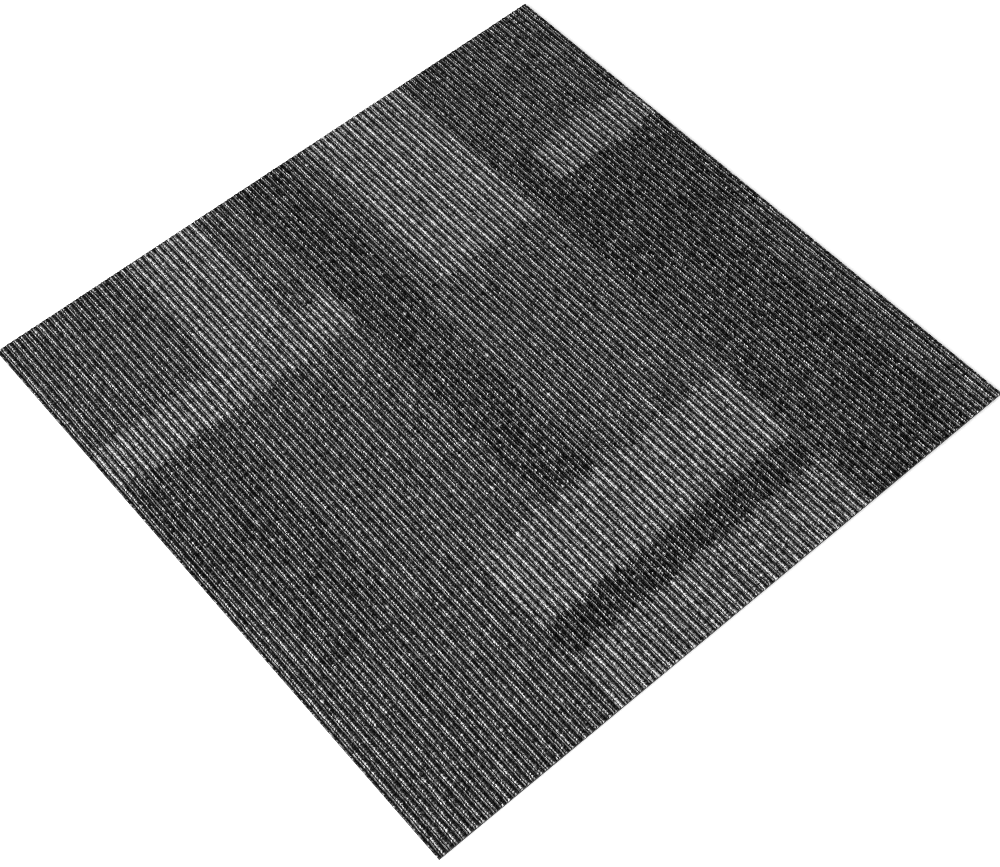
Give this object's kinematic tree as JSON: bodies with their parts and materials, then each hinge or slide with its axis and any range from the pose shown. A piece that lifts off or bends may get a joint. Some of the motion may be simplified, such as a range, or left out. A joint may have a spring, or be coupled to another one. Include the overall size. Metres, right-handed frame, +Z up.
{
  "type": "carpet tile",
  "caption": "Square modular carpet tile with a ribbed, textured loop pile in tones of grey on a flat cushion backing, laid edge to edge to cover a floor.",
  "frame": {"origin": "centre of the tile's underside, where it rests on the floor", "axes": "+Z up out of the pile face; +Y along the ribs; +X across the ribs"},
  "size_m": [0.6096, 0.6096, 0.0052],
  "materials": {
    "pile_yarn": "tufted multi-level loop nylon yarn in charcoal, mid and pale grey, matte",
    "backing": "calendered black cushion compound, matte, with square cut edges"
  },
  "bodies": {
    "root": {"backing": "backing", "pile": "pile_yarn"}
  },
  "joints": []
}
